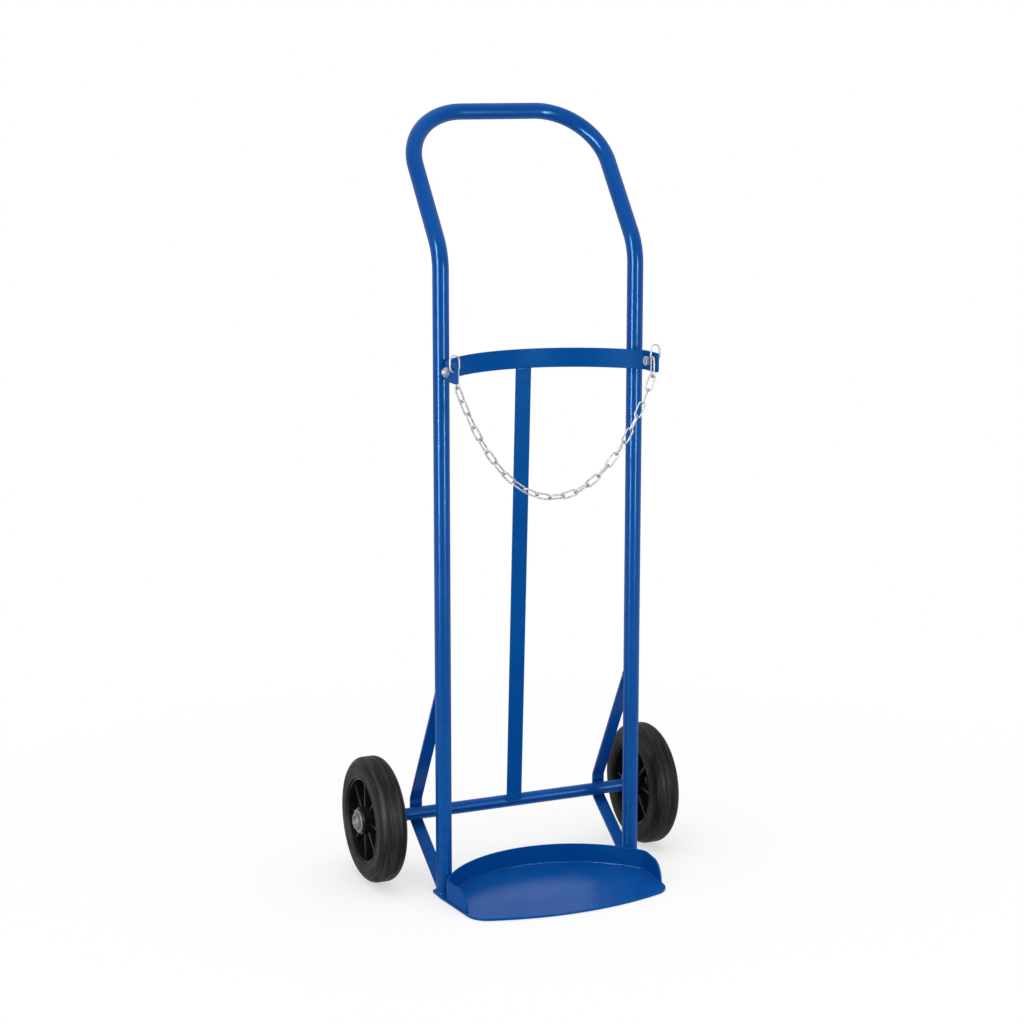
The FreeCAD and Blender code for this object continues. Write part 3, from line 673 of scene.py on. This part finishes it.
# wheels: solid tyre on a ribbed plastic rim
wheel = {"radius": 100, "halfWidth": 23, "bevelWidth": 9, "bevelHeight": 11, "shoulder": 14, "seat": 68,
         "grooveAt": 4.5, "grooveWidth": 1.2, "grooveFloor": 0.6, "grooveDepth": 0.6, "lineAt": 73.0,
         "lineHalf": 1.2, "lineFloor": 0.6, "lineDepth": 0.7, "lip": 1.0, "tuck": 0.6, "bendStep": 12.0,
         "segments": 128, "crease": 50.0}
rim = {"barrelHalf": 20, "barrelInside": 64, "barrelRoot": 0.5, "barrelFlare": 0.8, "webHalf": 3,
       "webJoin": 12, "hub": 23, "hubDraft": 1.5, "bore": 10.05, "ribs": 8, "ribThickness": 4,
       "ribRoot": 1.15, "ribTaper": 0.35, "ribSteps": 6, "ribHalf": 16, "edge": 1.0, "bendStep": 15.0,
       "segments": 96}


def tyreOutline():
    groove = wheel["grooveAt"]
    half = wheel["grooveWidth"] / 2
    bottom = half * wheel["grooveFloor"]
    low = wheel["radius"] - wheel["grooveDepth"]
    outside = wheel["halfWidth"]
    sunk = outside - wheel["lineDepth"]
    ring = wheel["lineAt"]
    line = roundedPoints([
        (groove - half, wheel["radius"], 0.0), (groove - bottom, low, 0.2), (groove + bottom, low, 0.2),
        (groove + half, wheel["radius"], 0.3),
        (outside - wheel["bevelWidth"], wheel["radius"], wheel["shoulder"]),
        (outside, wheel["radius"] - wheel["bevelHeight"], wheel["shoulder"]),
        (outside, ring + wheel["lineHalf"], 0.3), (sunk, ring + wheel["lineFloor"], 0.2),
        (sunk, ring - wheel["lineFloor"], 0.2), (outside, ring - wheel["lineHalf"], 0.3),
        (outside, wheel["seat"] + wheel["lip"], 0.8),
        (rim["barrelHalf"] + wheel["tuck"], wheel["seat"] - wheel["tuck"], 0.0),
    ], wheel["bendStep"])
    return mirrorLine(line) + line


def rimOutline():
    webEnd = (rim["webHalf"], rim["hub"] + rim["webJoin"], 0.0)
    hubHalf = axle["hubLength"] / 2
    hubLine = roundedPoints([
        webEnd, (rim["webHalf"], rim["hub"], 2.0), (hubHalf, rim["hub"] - rim["hubDraft"], 1.5),
        (hubHalf, rim["bore"], 0.4), (0, rim["bore"], 0.0),
    ], rim["bendStep"])
    outerLine = roundedPoints([
        webEnd, (rim["webHalf"], rim["barrelInside"] - rim["barrelRoot"], 2.0),
        (rim["barrelHalf"], rim["barrelInside"] + rim["barrelFlare"], 1.0),
        (rim["barrelHalf"], wheel["seat"], 0.6), (0, wheel["seat"], 0.0),
    ], rim["bendStep"])
    half = outerLine[::-1][1:] + hubLine[1:-1]
    return [Vector((0, wheel["seat"]))] + half + [Vector((0, rim["bore"]))] + mirrorLine(half)


def ribShape(turn, centre):
    # One rib across both faces of the web, slimmer outward and eased along its edges.
    start = (rim["bore"] + rim["hub"]) / 2
    end = (rim["barrelInside"] + wheel["seat"]) / 2
    out = Vector((0, math.cos(turn), math.sin(turn)))
    across = out.cross(toRight)
    rings = []
    for i in range(rim["ribSteps"] + 1):
        t = i / rim["ribSteps"]
        thickness = rim["ribThickness"] * (rim["ribRoot"] - rim["ribTaper"] * t)
        section = barSection(thickness, 2 * rim["ribHalf"], rim["edge"])
        at = centre + out * (start + (end - start) * t)
        rings.append([at + across * a + Vector((b, 0, 0)) for a, b in section])
    return ringFaces(rings)


for name, side in sides.items():
    body = "wheel_" + name
    centre = axleAt + Vector((side * wheelX, 0, 0))
    tyreRings = turnedShape(tyreOutline(), centre, wheel["segments"])
    newPiece("tyre" + name.capitalize(), ringFaces(tyreRings, closed=True), "tyreRubber", body,
             ["tyre_" + name], crease=wheel["crease"])
    rimRing = ringFaces(turnedShape(rimOutline(), centre, rim["segments"]), closed=True)
    ribs = [ribShape(2 * math.pi * i / rim["ribs"], centre) for i in range(rim["ribs"])]
    newPiece("wheelRim" + name.capitalize(), joinShapes([rimRing] + ribs), "rimPlastic", body,
             ["wheel_rim_" + name], crease=wheel["crease"])
print("wheels made")

# chain: links on a hanging curve between the ears, and the two end links that hold it
links = {"wire": 2.8, "length": 22.5, "width": 6.6, "play": 0.4, "firstPlay": 0.8, "firstDrop": 3.9,
         "count": 25, "twist": 45, "settle": 1.6, "endLength": 22, "endWidth": 12, "clearance": 0.05,
         "around": 14, "bendSteps": 12}


def linkShape(length, width, centre, along, across):
    bend = (width + links["wire"]) / 2
    reach = (length - width) / 2
    line = []
    for end, turn in ((1, -90), (-1, 90)):
        for i in range(links["bendSteps"] + 1):
            angle = math.radians(turn + 180 * i / links["bendSteps"])
            line.append(Vector((end * reach + bend * math.cos(angle), bend * math.sin(angle), 0)))
    normal = along.cross(across)
    place = Matrix((along, across, normal)).transposed()
    path = [centre + place @ p for p in line]
    section = roundSection(links["wire"] / 2, links["around"])
    return ringFaces(sweptShape(section, path, normal, closed=True), closed=True)


def hangingCurve(span, length, widest=20, rounds=80):
    # The size of the hanging curve that has this length over this span, by halving.
    low = span / widest
    high = span * widest
    for _ in range(rounds):
        middle = (low + high) / 2
        if 2 * middle * math.sinh(span / (2 * middle)) > length:
            low = middle
        else:
            high = middle
    return middle


def chainShapes():
    width = links["width"]
    first = cradle["height"] / 2 + cradle["chainRise"] + links["firstDrop"] + width / 2 + links["wire"]
    pitch = links["length"] - links["play"]
    hangX = earX - (cradle["thickness"] + links["endWidth"]) / 4
    hangZ = chainAxis.z - (first - width) / 2
    lowZ = chainAxis.z - (first - width / 2) + links["firstPlay"]
    hanging = links["count"] - 2
    curve = hangingCurve(2 * hangX, hanging * pitch)
    bottom = lowZ - curve * (math.cosh(hangX / curve) - 1)
    joints = []
    for i in range(hanging + 1):
        x = curve * math.asinh((i - hanging / 2) * pitch / curve)
        joints.append(Vector((x, chainAxis.y, bottom + curve * (math.cosh(x / curve) - 1))))
    flat = []
    upright = []
    for x in (-hangX, hangX):
        flat.append(linkShape(first, width, Vector((x, chainAxis.y, hangZ)), toTop, toBack))
    for i in range(hanging):
        along = (joints[i + 1] - joints[i]).normalized()
        middle = (joints[i] + joints[i + 1]) / 2
        # Away from its ends the chain settles with every link turned half-way from flat to upright.
        settled = 1 - math.exp(-(min(i, hanging - 1 - i) + 1) / links["settle"])
        twist = Matrix.Rotation(-math.radians(links["twist"] * settled), 3, along)
        if i % 2 == 0:
            upright.append(linkShape(links["length"], width, middle, along, twist @ along.cross(toBack)))
        else:
            flat.append(linkShape(links["length"], width, middle, along, twist @ toBack))
    return flat, upright


flatLinks, uprightLinks = chainShapes()
newPiece("chainLinksFlat", joinShapes(flatLinks), "zincPlate", "chain", ["chain_links_flat"])
newPiece("chainLinksUpright", joinShapes(uprightLinks), "zincPlate", "chain",
         ["chain_links_upright"])
endLow = chainAxis.z - cradle["chainHole"] / 2 + links["wire"] + links["clearance"]
for name, side in sides.items():
    at = Vector((side * earX, chainAxis.y, endLow + links["endLength"] / 2))
    shapePair = linkShape(links["endLength"], links["endWidth"], at, toTop, toRight)
    newPiece("endLink" + name.capitalize(), shapePair, "zincPlate", "frame",
             ["end_link_" + name])
print("chain made")

# bolt and nut through each ear
fastener = {"across": 13, "headHeight": 5.3, "nutHeight": 6.5, "bolt": 8, "tip": 3, "pitch": 1.25,
            "chamfer": 0.5774, "chamferTo": 0.95, "easeSteps": 4, "dish": 0.25, "dishFloor": 0.72,
            "dishEdge": 0.8, "dishCentre": 0.5, "threadFrom": 0.4, "crest": 0.1, "root": 0.7, "tipRun": 0.9,
            "tipTaper": 1.0, "tipCentre": 0.4, "boreEase": 0.5, "hexAround": 72, "around": 40, "crease": 25.0}
earFace = cradle["thickness"] / 2
hexPoint = fastener["across"] / math.sqrt(3)
chamfered = fastener["across"] / 2 * fastener["chamferTo"]
chamferRun = (hexPoint - chamfered) * fastener["chamfer"]
boltRadius = fastener["bolt"] / 2
crest = boltRadius - fastener["crest"]
headOut = -earFace - fastener["headHeight"]
nutEnd = earFace + fastener["nutHeight"]
tipOut = nutEnd + fastener["tip"]


def hexRings(levels, line, side):
    # Levels are (distance out along X, largest radius); the six flats cut each one.
    rings = []
    for out, largest in levels:
        ring = []
        for i in range(fastener["hexAround"]):
            turn = 2 * math.pi * i / fastener["hexAround"]
            flat = fastener["across"] / 2 / math.cos((turn + math.pi / 6) % (math.pi / 3) - math.pi / 6)
            radius = min(flat, largest)
            ring.append(line + Vector((side * out, radius * math.cos(turn), radius * math.sin(turn))))
        rings.append(ring)
    return rings


def chamferLevels(out, way):
    # From a flat end inward, until the corners are full.
    levels = []
    for i in range(fastener["easeSteps"] + 1):
        levels.append((out + way * chamferRun * i / fastener["easeSteps"],
                       chamfered + (hexPoint - chamfered) * i / fastener["easeSteps"]))
    return levels


def threadLine():
    levels = [(-earFace, boltRadius)]
    ridge = earFace + fastener["threadFrom"]
    while ridge < tipOut - fastener["tipTaper"]:
        levels += [(ridge, crest), (ridge + fastener["pitch"] / 2, boltRadius - fastener["root"])]
        ridge += fastener["pitch"]
    levels += [(tipOut - fastener["tipRun"], crest), (tipOut, boltRadius - fastener["tipTaper"]),
               (tipOut, fastener["tipCentre"])]
    return [Vector(level) for level in levels]


headDish = headOut + fastener["dish"]
headLevels = [(headDish, fastener["dishCentre"]), (headDish, chamfered * fastener["dishFloor"]),
              (headOut, chamfered * fastener["dishEdge"])]
headLevels += chamferLevels(headOut, 1) + [(-earFace, hexPoint)]
nutLevels = [(earFace, boltRadius)] + chamferLevels(earFace, 1) + chamferLevels(nutEnd, -1)[::-1]
nutLevels += [(nutEnd, boltRadius + fastener["boreEase"]), (nutEnd - fastener["boreEase"], boltRadius)]
for name, side in sides.items():
    line = Vector((side * earX, -cradle["boltReach"], cradle["level"]))
    head = ringFaces(hexRings(headLevels, line, side))
    shank = ringFaces(turnedShape(threadLine(), line, fastener["around"], side))
    newPiece("earBolt" + name.capitalize(), joinShapes([head, shank]), "zincPlate", "frame",
             ["ear_bolt_" + name], crease=fastener["crease"])
    nut = ringFaces(hexRings(nutLevels, line, side), closed=True)
    newPiece("earNut" + name.capitalize(), nut, "zincPlate", "frame",
             ["ear_nut_" + name], crease=fastener["crease"])
print("ear fasteners made")

# weld beads, rippled as they were laid
weld = {"ripple": 2.3, "step": 0.6, "rise": 0.14, "waver": 0.12, "waverScale": 0.35, "endLeast": 0.05,
        "around": 10, "crease": 60.0, "tubeFoot": 2.4, "tubeFootOut": 0.3, "tubeFootTurns": 72,
        "tubeSide": 1.9, "tubeSideIn": 1.3, "tubeSideApart": 7.0, "barShort": 1.5, "rimShort": 2,
        "braceEnd": 2.0, "braceHalf": 9.0, "braceSteps": 12, "braceOut": 0.6,
        "axleBack": 1.9, "axleBehind": 9.0, "axleApart": 6.2, "axleShort": 0.5,
        "strutTop": 1.7, "strutApart": 3.0, "strutUnder": 0.2, "strutShort": 1,
        "strutFoot": 1.6, "strutSpots": ((5.6, 9.0), (10.0, 3.6)), "rimFoot": 2.1, "rimFootOut": 0.25}


def resampled(line, step):
    points = [line[0].copy()]
    spare = 0.0
    for before, after in zip(line, line[1:]):
        run = after - before
        at = step - spare
        while at <= run.length:
            points.append(before + run * (at / run.length))
            at += step
        spare = run.length - (at - step)
    return points


def beadShape(line, radius):
    path = resampled(line, weld["step"])
    last = len(path) - 1
    swell = []
    for i, point in enumerate(path):
        wave = abs(math.sin(math.pi * i * weld["step"] / weld["ripple"]))
        waver = weld["waver"] * noise.noise(point * weld["waverScale"])
        grow = 1 - weld["rise"] + weld["rise"] * wave + waver
        ends = min(i, last - i) * weld["step"] / radius
        grow *= math.sqrt(max(weld["endLeast"], 1 - (1 - min(1.0, ends)) ** 2))
        swell.append(grow)
    return ringFaces(sweptShape(roundSection(radius, weld["around"]), path, swell=swell))


def lineAlongX(at, half, side=0.0):
    return [at + Vector((side - half, 0, 0)), at + Vector((side + half, 0, 0))]


beads = []
cradleHalf = cradle["height"] / 2 - weld["barShort"]
rimLow = floorTop + weld["rimShort"]
rimHigh = floorTop + foot["rimHeight"] - weld["rimShort"]
tubeSides = ((cradleCentre, cradle["level"] - cradleHalf, cradle["level"] + cradleHalf),
             (bowCentre, rimLow, rimHigh))
tubeFootReach = tubeRadius + weld["tubeFoot"] * weld["tubeFootOut"]
for side in sides.values():
    tubeAt = Vector((side * tubeX, 0, 0))
    ringLine = [tubeAt + Vector((x, y, floorTop))
                for x, y in roundSection(tubeFootReach, weld["tubeFootTurns"])]
    beads.append(beadShape(ringLine + [ringLine[0]], weld["tubeFoot"]))
    # beside the lines where the cradle bar and the rim touch the tube
    for bowAt, low, high in tubeSides:
        out = (tubeAt.xy - bowAt).normalized()
        across = Vector((-out.y, out.x))
        touch = tubeAt.xy - out * (tubeRadius - weld["tubeSideIn"])
        for way in (-1, 1):
            spot = touch + across * (way * weld["tubeSideApart"])
            line = [Vector((spot.x, spot.y, low)), Vector((spot.x, spot.y, high))]
            beads.append(beadShape(line, weld["tubeSide"]))
    # across the brace's ends, in the corner with the tube
    for end, nextPoint in ((braceTop, braceUpper), (braceFoot, braceLower)):
        along = (nextPoint - end).normalized()
        normal = Vector((0, -along.z, along.y))
        for way in (-1, 1):
            line = []
            for i in range(weld["braceSteps"] + 1):
                x = -weld["braceHalf"] + 2 * weld["braceHalf"] * i / weld["braceSteps"]
                depth = math.sqrt(tubeRadius ** 2 - x * x)
                base = end + along * ((depth + weld["braceOut"] - end.y) / along.y)
                aside = Vector((side * tubeX + x, 0, 0))
                line.append(base + normal * (way * brace["thickness"] / 2) + aside)
            beads.append(beadShape(line, weld["braceEnd"]))
    # above and below the line where the axle touches the brace
    for way in (-1, 1):
        at = axleAt + Vector((0, weld["axleBehind"], way * weld["axleApart"]))
        line = lineAlongX(at, brace["width"] / 2 - weld["axleShort"], side * tubeX)
        beads.append(beadShape(line, weld["axleBack"]))
strutHalf = strut["width"] / 2 - weld["strutShort"]
for way in (-1, 1):
    at = strutTop + Vector((0, way * weld["strutApart"], -weld["strutUnder"]))
    beads.append(beadShape(lineAlongX(at, strutHalf), weld["strutTop"]))
for back, up in weld["strutSpots"]:
    beads.append(beadShape(lineAlongX(axleAt + Vector((0, -back, up)), strutHalf), weld["strutFoot"]))
# along the inside foot of the rim
seamOut = weld["rimFoot"] * weld["rimFootOut"]
seam = []
for before, at, after in zip(rimLine, rimLine[1:], rimLine[2:]):
    run = (after - before).normalized()
    inside = Vector((-run.y, run.x, 0))
    if inside.dot(Vector((bowCentre.x, bowCentre.y, at.z)) - at) < 0:
        inside = -inside
    seamAt = Vector((at.x, at.y, floorTop + seamOut))
    seam.append(seamAt + inside * (foot["rimThickness"] / 2 + seamOut))
beads.append(beadShape(seam, weld["rimFoot"]))
newPiece("weldBeads", joinShapes(beads), "bluePowderCoat", "frame", crease=weld["crease"])
print("weld beads made:", len(beads))

# floor, background, light and camera, in metres
studio = {"floorHalf": 30, "floorDrop": 0.0005, "floorTone": 0.9, "toneShift": 0.015, "patchScale": 0.8,
          "floorRough": 0.7, "floorGloss": 0.15, "floorSeen": 1.0, "floorGlow": 0.6, "shadowFrom": 0.4,
          "shadowTo": 1.3, "worldLevel": 0.68, "lampAim": 0.6}


def seenPart(tree):
    # One for what the camera sees, straight, in a gloss or through something clear.
    path = tree.nodes.new("ShaderNodeLightPath")
    through = mathNode(tree, "MAXIMUM", path.outputs["Is Glossy Ray"], path.outputs["Is Transmission Ray"])
    return mathNode(tree, "MAXIMUM", path.outputs["Is Camera Ray"], through)


def floorFinish():
    material = bpy.data.materials.new("paleFloor")
    material.use_nodes = True
    tree = material.node_tree
    shader = tree.nodes["Principled BSDF"]
    tone = placeGroup(tree, patches, Scale=studio["patchScale"])
    shader.inputs["Roughness"].default_value = studio["floorRough"]
    shader.inputs["Specular IOR Level"].default_value = studio["floorGloss"]
    glow = tree.nodes.new("ShaderNodeEmission")
    seen = seenPart(tree)
    # Seen by the camera the bare floor is white, so that only the shadow shows on it.
    paler = studio["floorTone"] + studio["toneShift"]
    colour = mixColour(tree, tone, (studio["floorTone"],) * 3, (paler,) * 3)
    tree.links.new(mixColour(tree, seen, colour, (studio["floorSeen"],) * 3), shader.inputs["Base Color"])
    # The shadow stays near the trolley; further out the floor runs into the white background.
    place = tree.nodes.new("ShaderNodeTexCoord")
    away = tree.nodes.new("ShaderNodeVectorMath")
    away.operation = "LENGTH"
    tree.links.new(place.outputs["Object"], away.inputs[0])
    share = rangeNode(tree, away.outputs["Value"], studio["shadowFrom"], studio["shadowTo"],
                      studio["floorGlow"])
    mix = tree.nodes.new("ShaderNodeMixShader")
    tree.links.new(mathNode(tree, "MULTIPLY", seen, share), mix.inputs[0])
    tree.links.new(shader.outputs[0], mix.inputs[1])
    tree.links.new(glow.outputs[0], mix.inputs[2])
    tree.links.new(mix.outputs[0], tree.nodes["Material Output"].inputs["Surface"])
    return material


def addFloor():
    half = studio["floorHalf"]
    mesh = bpy.data.meshes.new("studioFloor")
    low = -studio["floorDrop"]
    corners = [(-half, -half, low), (half, -half, low), (half, half, low), (-half, half, low)]
    mesh.from_pydata(corners, [], [(0, 1, 2, 3)])
    mesh.materials.append(floorFinish())
    floor = bpy.data.objects.new("studioFloor", mesh)
    scene.collection.objects.link(floor)


def addWorld():
    world = bpy.data.worlds.new("studioWhite")
    scene.world = world
    world.use_nodes = True
    tree = world.node_tree
    background = tree.nodes["Background"]
    background.inputs["Color"].default_value = (1, 1, 1, 1)
    level = rangeNode(tree, seenPart(tree), 0.0, 1.0, studio["worldLevel"])
    tree.links.new(level, background.inputs["Strength"])


camera = {"place": (-1.47635, -3.25135, 1.29116), "yaw": 0.4145, "pitch": -0.1922, "lens": 82.7,
          "sensor": 36.0, "farthest": 200.0}


def addCamera():
    data = bpy.data.cameras.new("photoCamera")
    data.sensor_fit = "HORIZONTAL"
    data.sensor_width = camera["sensor"]
    data.lens = camera["lens"]
    data.clip_end = camera["farthest"]
    view = bpy.data.objects.new("photoCamera", data)
    scene.collection.objects.link(view)
    view.location = camera["place"]
    view.rotation_euler = (math.pi / 2 + camera["pitch"], 0, -camera["yaw"])
    scene.camera = view


# Each lamp is given by its bearing from the trolley's front.
# The strips make highlights only, and the overhead lamp light only.
lamps = {
    "leftStrip": {"bearing": -64, "distance": 2.6, "height": 1.25, "width": 0.48, "tall": 3.0, "power": 360,
                  "inGloss": True},
    "rightStrip": {"bearing": 15, "distance": 1.7, "height": 0.75, "width": 0.25, "tall": 1.0, "power": 54,
                   "inGloss": True},
    "overhead": {"bearing": -20, "distance": 1.1, "height": 6.0, "width": 4.9, "tall": 4.9, "power": 145,
                 "inGloss": False},
}


def addLamps():
    target = Vector((0, 0, studio["lampAim"]))
    for name, lamp in lamps.items():
        data = bpy.data.lights.new(name, "AREA")
        data.shape = "RECTANGLE"
        data.size = lamp["width"]
        data.size_y = lamp["tall"]
        data.energy = lamp["power"]
        light = bpy.data.objects.new(name, data)
        light.visible_camera = False
        light.visible_glossy = lamp["inGloss"]
        light.visible_diffuse = not lamp["inGloss"]
        scene.collection.objects.link(light)
        turn = math.radians(lamp["bearing"])
        light.location = (lamp["distance"] * math.sin(turn), -lamp["distance"] * math.cos(turn),
                          lamp["height"])
        light.rotation_euler = (target - light.location).to_track_quat("-Z", "Y").to_euler()


addFloor()
addWorld()
addCamera()
addLamps()
scene.view_settings.view_transform = "Standard"
print("studio set")
